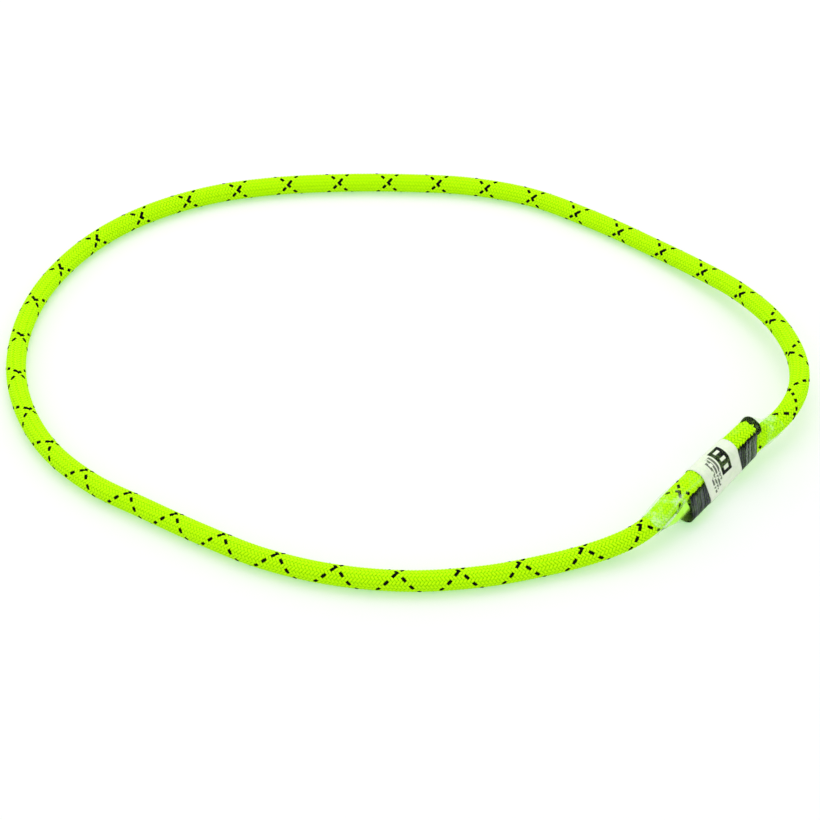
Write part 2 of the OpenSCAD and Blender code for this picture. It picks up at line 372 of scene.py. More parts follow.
class ShapeTree:
    """A Geometry Nodes tree with named inputs for its sizes."""

    def __init__(self, name: str) -> None:
        """Start a tree that takes one geometry and gives one."""
        self.group = bpy.data.node_groups.new(name, "GeometryNodeTree")
        face = self.group.interface
        face.new_socket("Geometry", in_out="INPUT", socket_type="NodeSocketGeometry")
        face.new_socket("Geometry", in_out="OUTPUT", socket_type="NodeSocketGeometry")
        self.start = self.group.nodes.new("NodeGroupInput")
        self.end = self.group.nodes.new("NodeGroupOutput")

    def asked(self, kind: str, *names: str) -> list[Field]:
        """Add named inputs of one kind, such as Float, and return them as fields."""
        for name in names:
            self.group.interface.new_socket(name, in_out="INPUT", socket_type=f"NodeSocket{kind}")
        return [Field(self.group, self.start.outputs[name]) for name in names]

    def add(self, kind: str, given: dict[Socket, Any], **settings: Any) -> bpy.types.Node:
        """Add a node.

        Args:
            kind: The node's type name.
            given: Values or fields for its inputs, by socket name or number.
            settings: The node's own properties.

        Returns:
            The node.
        """
        node = self.group.nodes.new(kind)
        for name, value in settings.items():
            setattr(node, name, value)
        for name, value in given.items():
            feed(self.group, node.inputs[name], value)
        return node

    def copies(self, count: Field) -> tuple[bpy.types.NodeSocket, Field]:
        """Return the line that the tree is given, repeated, and the number of each copy."""
        line = self.add("GeometryNodeMeshToCurve", {"Mesh": self.start.outputs["Geometry"]})
        given = {"Geometry": line.outputs[0], "Amount": count}
        node = self.add("GeometryNodeDuplicateElements", given, domain="SPLINE")
        return node.outputs["Geometry"], Field(self.group, node.outputs["Duplicate Index"])

    def attribute(self, name: str, kind: str = "FLOAT") -> Field:
        """Return a named attribute of the geometry as a field."""
        node = self.add("GeometryNodeInputNamedAttribute", {"Name": name}, data_type=kind)
        return Field(self.group, node.outputs["Attribute"])

    def stored(self, geometry: Any, name: str, value: Field) -> bpy.types.NodeSocket:
        """Return the geometry with a value kept on its points under a name."""
        given = {"Geometry": geometry, "Name": name, "Value": value}
        return self.add("GeometryNodeStoreNamedAttribute", given).outputs["Geometry"]

    def swept(self, curve: Any, normal: Field, half_w: Any, half_t: Any, sides: int) -> Any:
        """Sweep an oval along a curve, flat side towards the normal.

        Args:
            curve: The curve to follow.
            normal: The direction that the oval's thin way points in.
            half_w: Half the oval's width.
            half_t: Half its thickness.
            sides: Corners of the oval.

        Returns:
            The smooth mesh, with the attribute across running from -1 to 1 over its width.
        """
        turned = self.add("GeometryNodeSetCurveNormal", {"Curve": curve, "Normal": normal}, mode="FREE")
        oval = self.add("GeometryNodeCurvePrimitiveCircle", {"Resolution": sides, "Radius": 1.0})
        place = self.add("GeometryNodeInputPosition", {})
        parts = self.add("ShaderNodeSeparateXYZ", {0: place.outputs[0]})
        marked = self.stored(oval.outputs["Curve"], "across", Field(self.group, parts.outputs["Y"]))
        size = self.add("ShaderNodeCombineXYZ", {"X": half_t, "Y": half_w, "Z": 1.0})
        flat = self.add("GeometryNodeTransform", {"Geometry": marked, "Scale": size.outputs[0]})
        mesh = self.add(
            "GeometryNodeCurveToMesh",
            {"Curve": turned.outputs[0], "Profile Curve": flat.outputs[0], "Fill Caps": True},
        )
        return self.add("GeometryNodeSetShadeSmooth", {"Geometry": mesh.outputs[0]}).outputs[0]

    def finished(self, geometry: Any) -> None:
        """Realize, give the asked material and send the geometry out."""
        (material,) = self.asked("Material", "Material")
        real = self.add("GeometryNodeRealizeInstances", {"Geometry": geometry})
        dressed = self.add("GeometryNodeSetMaterial", {"Geometry": real.outputs[0], "Material": material})
        self.group.links.new(dressed.outputs[0], self.end.inputs["Geometry"])

    def grown(self, name: str, seed_mesh: bpy.types.Mesh, sizes: dict[str, Any]) -> bpy.types.Object:
        """Run the tree on a mesh and keep the result as a plain mesh object.

        Args:
            name: The piece's name.
            seed_mesh: The mesh that the tree starts from.
            sizes: A value for each named input.

        Returns:
            The finished object, at the origin.
        """
        seed = placed(f"{name}_seed", seed_mesh)
        modifier = seed.modifiers.new("shape", "NODES")
        modifier.node_group = self.group
        for item in self.group.interface.items_tree:
            if item.in_out == "INPUT" and item.name in sizes:
                modifier[item.identifier] = sizes[item.name]
        seed.update_tag()
        depsgraph = bpy.context.evaluated_depsgraph_get()
        mesh = bpy.data.meshes.new_from_object(seed.evaluated_get(depsgraph), depsgraph=depsgraph)
        seed.modifiers.clear()
        bpy.data.objects.remove(seed)
        mesh.name = name
        return placed(name, mesh)


# ---- Objects and plain meshes ------------------------------------------------------------------


def placed(name: str, data: bpy.types.ID) -> bpy.types.Object:
    """Return a new object of the scene that shows the data."""
    piece = bpy.data.objects.new(name, data)
    bpy.context.collection.objects.link(piece)
    return piece


def line_mesh(name: str, points: Array, kept: dict[str, Array]) -> bpy.types.Mesh:
    """Return a mesh of one open line with values on its points.

    Args:
        name: The mesh's name.
        points: The line's points.
        kept: Attribute names with a value or a vector for each point.

    Returns:
        The mesh.
    """
    mesh = bpy.data.meshes.new(name)
    mesh.from_pydata(points.tolist(), [(k, k + 1) for k in range(len(points) - 1)], [])
    for label, values in kept.items():
        keep_values(mesh, label, values)
    return mesh


def keep_values(mesh: bpy.types.Mesh, label: str, values: Array) -> None:
    """Store a value or a vector for each point of a mesh as an attribute."""
    vectors = values.ndim == 2
    attribute = mesh.attributes.new(label, "FLOAT_VECTOR" if vectors else "FLOAT", "POINT")
    attribute.data.foreach_set("vector" if vectors else "value", values.astype(np.float32).ravel())


def tube_faces(rings: int, sides: int, first: int = 0, inside_out: bool = False) -> list[Face]:
    """Return the quads between closed rings of points.

    Args:
        rings: How many rings there are.
        sides: Points in each ring.
        first: Number of the first ring's first point.
        inside_out: True for a wall that is seen from within.

    Returns:
        Corner numbers of each quad.
    """
    faces = []
    for ring in range(rings - 1):
        for k in range(sides):
            a, b = first + ring * sides + k, first + ring * sides + (k + 1) % sides
            quad = (a, b, b + sides, a + sides)
            faces.append(quad[::-1] if inside_out else quad)
    return faces


def shell_piece(name: str, outer: Array, inner: Array, kept: dict[str, Array]) -> bpy.types.Object:
    """Return a closed thin wall between two stacks of rings.

    Args:
        name: The piece's name.
        outer: Points of the outer skin, as rings by sides by 3.
        inner: Points of the inner skin, in the same order.
        kept: Attribute names with a value for each point of the outer skin; the inner one has 0.

    Returns:
        The object, with a UV map that runs once round and once along.
    """
    rings, sides = outer.shape[:2]
    bore = rings * sides
    faces = tube_faces(rings, sides) + tube_faces(rings, sides, bore, True)
    for ring, flip in ((0, True), (rings - 1, False)):
        for k in range(sides):
            a, b = ring * sides + k, ring * sides + (k + 1) % sides
            quad = (a, b, bore + b, bore + a)
            faces.append(quad[::-1] if flip else quad)
    mesh = bpy.data.meshes.new(name)
    mesh.from_pydata(np.vstack([outer.reshape(-1, 3), inner.reshape(-1, 3)]).tolist(), [], faces)
    for label, values in kept.items():
        keep_values(mesh, label, np.concatenate([values.ravel(), 0 * values.ravel()]))
    outward(mesh, outer)
    wrap_uv(mesh, rings, sides)
    mesh.polygons.foreach_set("use_smooth", [True] * len(mesh.polygons))
    return placed(name, mesh)


def outward(mesh: bpy.types.Mesh, outer: Array) -> None:
    """Turn every face over if the first outer face points into the shell."""
    face = mesh.polygons[0]
    centre = outer[0].mean(axis=0)
    if (np.array(face.center) - centre) @ np.array(face.normal) < 0:
        mesh.flip_normals()


def wrap_uv(mesh: bpy.types.Mesh, rings: int, sides: int) -> None:
    """Give a ringed shell a UV map: u once round, v once along, with no face across the seam."""
    layer = mesh.uv_layers.new(name="UVMap")
    corners = np.array([loop.vertex_index for loop in mesh.loops])
    place = corners % (rings * sides)
    u = (place % sides) / sides
    v = (place // sides) / (rings - 1)
    starts = np.array([face.loop_start for face in mesh.polygons])
    counts = np.array([face.loop_total for face in mesh.polygons])
    half_round = 0.5
    for start, count in zip(starts, counts):
        part = slice(start, start + count)
        if u[part].max() - u[part].min() > half_round:
            u[part] = np.where(u[part] < half_round, u[part] + 1, u[part])
    layer.data.foreach_set("uv", np.stack([u, v], 1).astype(np.float32).ravel())


# ---- Finishes ----------------------------------------------------------------------------------


class FibreGroup:
    """A shader group of fine fibres that run along a yarn, thread or strand."""

    NAME = "fibre_grain"
    STRETCH = 0.9
    DETAIL = 2.0
    SHADE_EDGE = 0.45
    SHADE_SOFTNESS = 0.5

    @classmethod
    def get(cls) -> bpy.types.NodeTree:
        """Return the group, built once: place and fibres in, Height and Shade out."""
        found = bpy.data.node_groups.get(cls.NAME)
        if found:
            return found
        group = bpy.data.node_groups.new(cls.NAME, "ShaderNodeTree")
        face = group.interface
        for name in ("Along", "Across", "Fibres", "Twist"):
            face.new_socket(name, in_out="INPUT", socket_type="NodeSocketFloat")
        for name in ("Height", "Shade"):
            face.new_socket(name, in_out="OUTPUT", socket_type="NodeSocketFloat")
        start, end = group.nodes.new("NodeGroupInput"), group.nodes.new("NodeGroupOutput")
        along, across, fibres, twist = (Field(group, socket) for socket in start.outputs[:4])
        place = group.nodes.new("ShaderNodeCombineXYZ")
        feed(group, place.inputs["X"], (across + along * twist) * fibres)
        feed(group, place.inputs["Y"], along * cls.STRETCH)
        noise = group.nodes.new("ShaderNodeTexNoise")
        noise.inputs["Scale"].default_value = 1.0
        noise.inputs["Detail"].default_value = cls.DETAIL
        feed(group, noise.inputs["Vector"], place.outputs[0])
        height = Field(group, noise.outputs["Fac"])
        feed(group, end.inputs["Height"], height)
        feed(group, end.inputs["Shade"], height.above(cls.SHADE_EDGE, cls.SHADE_SOFTNESS))
        return group


@dataclass(frozen=True)
class Bump:
    """How much a height field from 0 to 1 bumps a surface."""

    depth: float
    strength: float

    def apply(self, tree: bpy.types.NodeTree, shader: bpy.types.Node, height: Field) -> None:
        """Let a height field bump a shader's normal.

        Args:
            tree: The material's tree.
            shader: The shader that takes the normal.
            height: Height from 0 to 1, which stands for the depth in metres.
        """
        bump = tree.nodes.new("ShaderNodeBump")
        bump.inputs["Distance"].default_value = self.depth
        bump.inputs["Strength"].default_value = self.strength
        feed(tree, bump.inputs["Height"], height)
        tree.links.new(bump.outputs["Normal"], shader.inputs["Normal"])


@dataclass(frozen=True)
class Grain:
    """A noise over the part's own place: how fine it is, how detailed and how distorted."""

    scale: float
    detail: float
    distortion: float = 0.0

    def field(self, tree: bpy.types.NodeTree) -> Field:
        """Return the noise as a field of a material."""
        place = tree.nodes.new("ShaderNodeTexCoord")
        noise = tree.nodes.new("ShaderNodeTexNoise")
        noise.inputs["Scale"].default_value = self.scale
        noise.inputs["Detail"].default_value = self.detail
        noise.inputs["Distortion"].default_value = self.distortion
        tree.links.new(place.outputs["Object"], noise.inputs["Vector"])
        return Field(tree, noise.outputs["Fac"])


@dataclass(frozen=True)
class Finish:
    """A material: its name, colour, roughness, gloss and bump."""

    name: str
    color: Color
    roughness: float
    gloss: float = 0.5
    bump: Bump = Bump(0.0002, 0.5)

    def build(self) -> bpy.types.Material:
        """Return the material, built once."""
        found = bpy.data.materials.get(self.name)
        if found:
            return found
        material = bpy.data.materials.new(self.name)
        material.use_nodes = True
        tree = material.node_tree
        shader = tree.nodes["Principled BSDF"]
        shader.inputs["Base Color"].default_value = (*self.color, 1.0)
        shader.inputs["Roughness"].default_value = self.roughness
        shader.inputs["Specular IOR Level"].default_value = self.gloss
        self.bump.apply(tree, shader, self.dress(tree, shader))
        return material

    def dress(self, tree: bpy.types.NodeTree, shader: bpy.types.Node) -> Field:
        """Add the finish's own nodes and return the height that bumps it."""
        raise NotImplementedError


def named_value(tree: bpy.types.NodeTree, label: str) -> Field:
    """Return a mesh attribute as a field of a material."""
    node = tree.nodes.new("ShaderNodeAttribute")
    node.attribute_name = label
    return Field(tree, node.outputs["Fac"])


@dataclass(frozen=True)
class FibreFinish(Finish):
    """A yarn or thread: fine fibres in the colour's own light and dark.

    An attribute scales the light where the finish asks for it, and adds to it by a share. It holds painted
    light and shade: on a sheath yarn, painted light where it lies over and painted shade where it dives
    under; on the thread, a chance tone with painted shade and painted light.
    """

    dark: Color = (0, 0, 0)
    fibres: float = 9.0
    twist: float = 0.25
    per_metre: float = 1000.0
    gloss: float = 0.04
    scaled_by_tone_and_shade: bool = False
    painted_raised_light: float = 0.0
    bump: Bump = Bump(0.00012, 0.6)

    def dress(self, tree: bpy.types.NodeTree, shader: bpy.types.Node) -> Field:
        """Add fibres that follow the attributes along and across."""
        grain = tree.nodes.new("ShaderNodeGroup")
        grain.node_tree = FibreGroup.get()
        feed(tree, grain.inputs["Along"], named_value(tree, "along") * self.per_metre)
        feed(tree, grain.inputs["Across"], named_value(tree, "across"))
        grain.inputs["Fibres"].default_value = self.fibres
        grain.inputs["Twist"].default_value = self.twist
        shade = Field(tree, grain.outputs["Shade"])
        # Painted light and shade come in by the attribute, as the finish asks.
        if self.scaled_by_tone_and_shade:
            shade = shade * named_value(tree, "tone_and_shade")
        if self.painted_raised_light:
            shade = (shade + named_value(tree, "tone_and_shade") * self.painted_raised_light).clamped()
        feed(tree, shader.inputs["Base Color"], mixed(tree, shade, self.dark, self.color))
        return Field(tree, grain.outputs["Height"])


@dataclass(frozen=True)
class CoreFinish(Finish):
    """The white core strands inside the sheath: plies that wind along the strand."""

    # Painted shade in the grooves between the plies.
    groove_shade: Color = (0.72, 0.71, 0.66)
    plies: float = 220.0
    unevenness: float = 1.5
    bump: Bump = Bump(0.0002, 0.7)

    def dress(self, tree: bpy.types.NodeTree, shader: bpy.types.Node) -> Field:
        """Add slanted plies by a wave over the strand's own place, painted darker in the grooves between
        them as shade.
        """
        coordinate = tree.nodes.new("ShaderNodeTexCoord")
        wave = tree.nodes.new("ShaderNodeTexWave")
        wave.bands_direction = "DIAGONAL"
        wave.inputs["Scale"].default_value = self.plies
        wave.inputs["Distortion"].default_value = self.unevenness
        tree.links.new(coordinate.outputs["Object"], wave.inputs["Vector"])
        height = Field(tree, wave.outputs["Fac"])
        feed(tree, shader.inputs["Base Color"], mixed(tree, height, self.groove_shade, self.color))
        return height


@dataclass(frozen=True)
class SealFinish(Finish):
    """The black seal of a rope end: melted and dipped, with specks where yarn shows through."""

    specks: Color = (0.30, 0.45, 0.10)
    lumps: Grain = Grain(900.0, 4.0)
    speck_edge: float = 0.75
    speck_softness: float = 0.04
    rough_span: float = 0.4
    gloss: float = 0.03
    bump: Bump = Bump(0.0003, 0.8)

    def dress(self, tree: bpy.types.NodeTree, shader: bpy.types.Node) -> Field:
        """Add lumps, with specks of yarn on the highest spots."""
        height = self.lumps.field(tree)
        specks = height.above(self.speck_edge, self.speck_softness)
        feed(tree, shader.inputs["Base Color"], mixed(tree, specks, self.color, self.specks))
        feed(tree, shader.inputs["Roughness"], height * self.rough_span + self.roughness)
        return height


@dataclass(frozen=True)
class LabelFinish(Finish):
    """Cream film with a generic print: three hollow boxes and four broken lines."""

    ink: Color = (0.004, 0.004, 0.005)
    faded: Color = (0.03, 0.03, 0.03)
    faded_share: float = 0.85
    # Painted shade in the low parts of the creases.
    shaded: Color = (0.68, 0.70, 0.60)
    creases: Grain = Grain(260.0, 3.0)
    crease_edge: float = 0.5
    crease_softness: float = 0.5
    gloss: float = 0.08
    bump: Bump = Bump(0.0002, 0.25)
    # The print's sizes are in millimetres, round the pair and along the label.
    round_mm: float = 55.0
    long_mm: float = 25.0
    # Bold hollow boxes: place round the pair and width.
    boxes: tuple[tuple[float, float], ...] = ((7.9, 5.5), (12.1, 5.5), (16.5, 6.1))
    box_top: float = 6.2
    box_long: float = 7.0
    stroke: float = 1.9
    box_softness: float = 0.15
    # Fine lines: place along the label, then from where to where they run round the pair.
    rows: tuple[tuple[float, float, float], ...] = (
        (14.7, 9.6, 23.5), (16.5, 9.8, 26.0), (18.3, 11.2, 26.8), (20.1, 19.0, 27.6),
    )
    row_half: float = 0.6
    row_softness: float = 0.12
    row_end_softness: float = 0.2
    # The lines are broken by a chance value for each cell, this long and this wide.
    cell_long: float = 0.9
    cell_wide: float = 1.8
    cell_shift: float = 0.1
    gap_share: float = 0.2
    gap_softness: float = 0.05

    def boxed(self, around: Field, along: Field) -> Field:
        """Return a mask of the hollow bold boxes."""
        soft = self.box_softness
        top, end = self.box_top, self.box_top + self.box_long

        def filled(low: float, high: float, inset: float) -> Field:
            """Return a mask of one whole box, smaller by an inset at each edge."""
            wide = around.within(low + inset, high - inset, soft)
            return wide * along.within(top + inset, end - inset, soft)

        return greatest(
            filled(low, low + width, 0.0) * (1.0 - filled(low, low + width, self.stroke))
            for low, width in self.boxes
        )

    def lined(self, tree: bpy.types.NodeTree, around: Field, along: Field) -> Field:
        """Return a mask of the fine broken lines."""
        noise = tree.nodes.new("ShaderNodeTexWhiteNoise")
        noise.noise_dimensions = "2D"
        cell = tree.nodes.new("ShaderNodeCombineXYZ")
        feed(tree, cell.inputs["X"], (around / self.cell_long).maths("FLOOR"))
        feed(tree, cell.inputs["Y"], ((along - self.cell_shift) / self.cell_wide).maths("FLOOR"))
        tree.links.new(cell.outputs[0], noise.inputs["Vector"])
        dashes = Field(tree, noise.outputs["Value"]).above(self.gap_share, self.gap_softness)
        half, soft = self.row_half, self.row_softness
        lines = greatest(
            along.within(place - half, place + half, soft) * around.within(low, high, self.row_end_softness)
            for place, low, high in self.rows
        )
        return lines * dashes

    def dress(self, tree: bpy.types.NodeTree, shader: bpy.types.Node) -> Field:
        """Add the print, faint creases with painted shade in their low parts, and a satin face."""
        coordinate = tree.nodes.new("ShaderNodeUVMap")
        coordinate.uv_map = "UVMap"
        parts = tree.nodes.new("ShaderNodeSeparateXYZ")
        tree.links.new(coordinate.outputs[0], parts.inputs[0])
        around = Field(tree, parts.outputs["X"]) * self.round_mm
        along = Field(tree, parts.outputs["Y"]) * self.long_mm
        creases = self.creases.field(tree)
        # Painted shade: the paper takes the shaded colour where the creases are low.
        light = creases.above(self.crease_edge, self.crease_softness)
        paper = mixed(tree, light, self.shaded, self.color)
        lines = self.lined(tree, around, along) * self.faded_share
        paper = mixed(tree, lines, paper, self.faded)
        paper = mixed(tree, self.boxed(around, along), paper, self.ink)
        feed(tree, shader.inputs["Base Color"], paper)
        return creases


@dataclass(frozen=True)
class FilmFinish(Finish):
    """Clear shrink film: nearly see-through, milky where it is creased, with painted glints."""

    clear: float = 0.002
    milk: float = 0.5
    glint: float = 0.26
    crease_highlight: float = 0.13
    rim: float = 0.02
    rim_blend: float = 0.15
    milk_tint: Color = (0.46, 0.94, 0.05)
    broad: Grain = Grain(160.0, 2.0, 0.4)
    fine: Grain = Grain(420.0, 2.0, 1.2)
    middle: float = 0.5
    milk_softness: float = 0.5
    milk_least: float = 0.6
    broad_softness: float = 0.15
    fine_softness: float = 0.3
    whitening: float = 3.0
    gloss: float = 0.12
    bump: Bump = Bump(0.0003, 0.3)

    def dress(self, tree: bpy.types.NodeTree, shader: bpy.types.Node) -> Field:
        """Add the milky patches, painted glints where fine creases would catch the light, and a faint rim.
        """
        broad, fine = self.broad.field(tree), self.fine.field(tree)
        facing = tree.nodes.new("ShaderNodeLayerWeight")
        facing.inputs["Blend"].default_value = self.rim_blend
        uneven = broad.above(self.middle, self.milk_softness) * (1 - self.milk_least) + self.milk_least
        milky = named_value(tree, "haze") * uneven * self.milk
        # Painted glints: white patches where creases would catch the light, with the painted highlight of
        # the long crease.
        patches = fine.above(self.middle, self.fine_softness)
        patches = patches * broad.above(self.middle, self.broad_softness) * named_value(tree, "glint")
        glints = patches * self.glint + named_value(tree, "crease_highlight") * self.crease_highlight
        rim = Field(tree, facing.outputs["Fresnel"]) * self.rim
        feed(tree, shader.inputs["Alpha"], (milky + glints + rim + self.clear).clamped())
        # The painted highlights whiten the film's colour.
        white = glints * self.whitening
        feed(tree, shader.inputs["Base Color"], mixed(tree, white, self.milk_tint, self.color))
        return fine


# The lime yarn is painted in its dark colour as shade where it dives under, and light where it lies over.
LIME_YARN = FibreFinish("lime_yarn", (0.52, 0.92, 0.0), 0.6, dark=(0.14, 0.58, 0.0), painted_raised_light=0.85)
BLACK_YARN = FibreFinish("black_yarn", (0.004, 0.005, 0.004), 0.8, dark=(0.001, 0.001, 0.001))
# The thread's light comes from a chance tone, with painted shade at the top of each pass and painted light
# up the splice.
SEWING_THREAD = FibreFinish(
    "sewing_thread",
    (0.30, 0.31, 0.34),
    0.5,
    dark=(0.004, 0.004, 0.005),
    fibres=3.0,
    twist=1.6,
    scaled_by_tone_and_shade=True,
)
CORE_STRAND = CoreFinish("core_strand", (0.88, 0.87, 0.83), 0.7)
END_SEAL = SealFinish("dipped_end", (0.003, 0.005, 0.003), 0.3)
LABEL_FILM = LabelFinish("label_film", (0.77, 0.77, 0.65), 0.4)
CLEAR_FILM = FilmFinish("clear_film", (0.97, 0.99, 0.96), 0.12)


def dress_piece(piece: bpy.types.Object, finish: Finish) -> None:
    """Give a piece one finish."""
    piece.data.materials.clear()
    piece.data.materials.append(finish.build())


def settle(piece: bpy.types.Object, slot: str, *nodes: str) -> None:
    """Ride a piece on the part, hide the CAD nodes that it stands for, and log it."""
    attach(piece, BODY)
    if nodes:
        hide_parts(*nodes)
    log.info("%s: %d faces", piece.name, len(piece.data.polygons))


# ---- Sub-assemblies ----------------------------------------------------------------------------


class Hand(Enum):
    """The way a sheath yarn winds: with the course's own turning sense or against it."""

    RISING = 1
    FALLING = -1


@dataclass
class BraidedSheath:
    """The sheath: 16 yarns of each hand, laced over two and under two, one black in each hand."""

    course: RopeCourse
    seal_t: float = 0.0022
    yarns: int = 16
    rings_per_turn: int = 64
    yarn_w: float = 0.00134
    yarn_t: float = 0.00060
    tracer_w: float = 0.00156
    tracer_lift: float = 0.00005
    lace: float = 0.00026
    # The lacing repeats after this many crossings. It starts at the phase, and the top of its wave
    # is flattened.
    lace_repeat: int = 4
    lace_phase: float = 2.5
    flatten: float = 0.5
    # How high a yarn has to lie to be painted light, between -1 and 1; where it dives lower it is painted
    # in shade.
    light_edge: float = 0.62
    light_softness: float = 0.76
    yarn_sides: int = 6
    # Length of yarn in one turn, and the shift of its fibres from one yarn to the next.
    turn_length: float = 0.0404
    fibre_shift: float = 0.37
    samples: int = 20001
    # The lime yarns come in groups of first yarn and count. The tracer is yarn 0.
    groups: tuple[tuple[int, int], ...] = ((1, 5), (6, 5), (11, 5))
    # Turns of the braid that have passed at lengths of rope, in metres.
    lay: tuple[tuple[float, float], ...] = (
        (0, -2.86), (0.011, -2.5), (0.045, -1.5), (0.0575, -1), (0.0826, 0), (0.1433, 2), (0.227, 5),
        (0.2833, 7), (0.336, 9),
        (0.417, 12), (0.4736, 14), (0.530, 16), (0.5905, 18), (0.6486, 20), (0.705, 22),
        (0.787, 25), (0.869, 28), (0.953, 31), (1.0365, 34), (1.0482, 34.5), (1.064, 35), (1.1312, 37.3),
    )
    # Angle at which the two black yarns cross, in degrees from the inside of the loop upwards.
    crossing: tuple[tuple[float, float], ...] = (
        (0, 162), (0.011, 150), (0.045, 135), (0.0575, 135), (0.0826, 86), (0.220, 86), (0.283, 72),
        (0.500, 70), (0.590, 40), (0.870, 35), (1.010, 40), (1.0365, 34), (1.0482, -10), (1.056, -12),
        (1.064, -38), (1.1312, -40),
    )

    def tree(self) -> ShapeTree:
        """Return the tree that lays yarns of one hand along the course."""
        shape = ShapeTree("laced_yarns")
        count, first = shape.asked("Int", "Yarns", "First Yarn")
        hand, radius, lace, half_w, half_t = shape.asked(
            "Float", "Hand", "Radius", "Lace", "Half Width", "Half Thickness"
        )
        copies, number = shape.copies(count)
        number = number + first
        turn = shape.attribute("turn")
        angle = shape.attribute("crossing") + (number / float(self.yarns) + hand * turn) * math.tau
        # A yarn lies over two and under two of the other hand. The hands take turns.
        passed = number * 2.0 + hand * turn * (2.0 * self.yarns)
        over = ((passed - self.lace_phase + hand) * (math.tau / self.lace_repeat)).cos()
        level = radius + lace * over * (1.0 + self.flatten - over * over * self.flatten)
        inward = shape.attribute("inward", "FLOAT_VECTOR")
        upward = shape.attribute("upward", "FLOAT_VECTOR")
        outwards = inward.times(angle.cos()).plus(upward.times(angle.sin()))
        place = Field(shape.group, shape.add("GeometryNodeInputPosition", {}).outputs[0])
        fibre = turn * self.turn_length + number * self.fibre_shift
        marked = shape.stored(copies, "along", fibre)
        # Painted light where the yarn lies over and painted shade where it dives under.
        marked = shape.stored(marked, "tone_and_shade", over.above(self.light_edge, self.light_softness))
        kept = shape.add(
            "GeometryNodeStoreNamedAttribute",
            {"Geometry": marked, "Name": "outwards", "Value": outwards},
            data_type="FLOAT_VECTOR",
        )
        laid = shape.add(
            "GeometryNodeSetPosition",
            {"Geometry": kept.outputs[0], "Position": place.plus(outwards.times(level))},
        )
        normal = shape.attribute("outwards", "FLOAT_VECTOR")
        shape.finished(shape.swept(laid.outputs[0], normal, half_w, half_t, self.yarn_sides))
        return shape

    def course_line(self) -> tuple[bpy.types.Mesh, Array]:
        """Return the line that the yarns follow, with its cross-section axes, and its points."""
        runs = np.linspace(self.seal_t, self.course.length - self.seal_t, self.samples)
        lay_at, lay_turn = np.array(self.lay).T
        turns = np.interp(runs, lay_at, lay_turn)
        wanted = np.arange(turns[0], turns[-1], 1 / self.rings_per_turn)
        run = np.interp(wanted, turns, runs)
        cut = self.course.sections(self.course.u_at(run))
        spread = 1 + self.course.press_spread / self.course.rope_d * cut.pressed
        squash = 1 - self.course.press_squash / self.course.rope_d * cut.pressed
        at, degrees = np.array(self.crossing).T
        kept = {
            "inward": cut.inward * spread[:, None],
            "upward": cut.upward * squash[:, None],
            "turn": wanted,
            "crossing": np.radians(np.interp(run, at, degrees)),
        }
        return line_mesh("sheath_course", cut.middle, kept), cut.middle

    def build(self) -> None:
        line, path = self.course_line()
        tree = self.tree()
        radius = self.course.rope_r - self.lace - self.yarn_t / 2
        for hand in Hand:
            label = hand.name.lower()
            for first, count in (*self.groups, (0, 1)):
                black = first == 0
                finish = BLACK_YARN if black else LIME_YARN
                name = f"tracer_yarn_{label}" if black else f"sheath_yarns_{label}_{first:02d}"
                given = {
                    "Yarns": count,
                    "First Yarn": first,
                    "Hand": float(hand.value),
                    "Radius": radius + (self.tracer_lift if black else 0.0),
                    "Lace": self.lace,
                    "Half Width": (self.tracer_w if black else self.yarn_w) / 2,
                    "Half Thickness": self.yarn_t / 2,
                    "Material": finish.build(),
                }
                piece = tree.grown(name, line, given)
                for spare in ("inward", "upward", "turn", "crossing", "outwards"):
                    if spare in piece.data.attributes:
                        piece.data.attributes.remove(piece.data.attributes[spare])
                settle(piece, "thread" if black else "sheath")
        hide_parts("sheath")
        self.course.length
        path[::8].tolist() + [path[-1].tolist()]


def pair_outline(half_w: float, half_t: float, lifts: tuple[float, float], sides: int) -> Array:
    """Return a closed outline round two strands: two half ovals, joined by flat sides.

    Args:
        half_w: Half the ovals' width.
        half_t: Half their height.
        lifts: Height of the upper and the lower oval's middle.
        sides: How many evenly spaced points to return.

    Returns:
        Points in x and y, from the inner end of the upper half oval over its top and round.
    """
    steps = 181
    arc = np.linspace(0, math.pi, steps)
    halves = [
        np.stack([half_w * np.cos(arc + turn), half_t * np.sin(arc + turn) + lift], 1)
        for turn, lift in zip((0, math.pi), lifts)
    ]
    corners = np.vstack([*halves, halves[0][:1]])
    run = np.concatenate([[0.0], np.cumsum(np.linalg.norm(np.diff(corners, axis=0), axis=1))])
    even = np.linspace(0, run[-1], sides, endpoint=False)
    return np.stack([np.interp(even, run, corners[:, axis]) for axis in (0, 1)], 1)


@dataclass
class Wrap:
    """Shape of a layer that is wrapped round both strands of the splice."""

    splice: SpliceFrame
    half_w: float
    half_t: float
    sides: int = 112

    def ring(self, s: float, wall: float) -> Array:
        """Return one ring of the wrap, at a distance along the splice, thicker by a wall."""
        half = self.splice.pair_pitch / 2
        x, y = pair_outline(self.half_w + wall, self.half_t + wall, (half, -half), self.sides).T
        return self.splice.point(np.full(self.sides, s), x, y)


@dataclass
class PrintedLabel:
    """The cream band round both strands."""

    wrap: Wrap
    middle: float = -0.0025
    length: float = 0.025
    wall: float = 0.00015
    stations: int = 26

    def build(self) -> None:
        """Build the label."""
        along = self.middle + self.length * np.linspace(0.5, -0.5, self.stations)
        outer = np.array([self.wrap.ring(s, self.wall) for s in along])
        inner = np.array([self.wrap.ring(s, 0) for s in along])
        piece = shell_piece("printed_label", outer, inner, {})
        dress_piece(piece, LABEL_FILM)
        settle(piece, "label", "label")


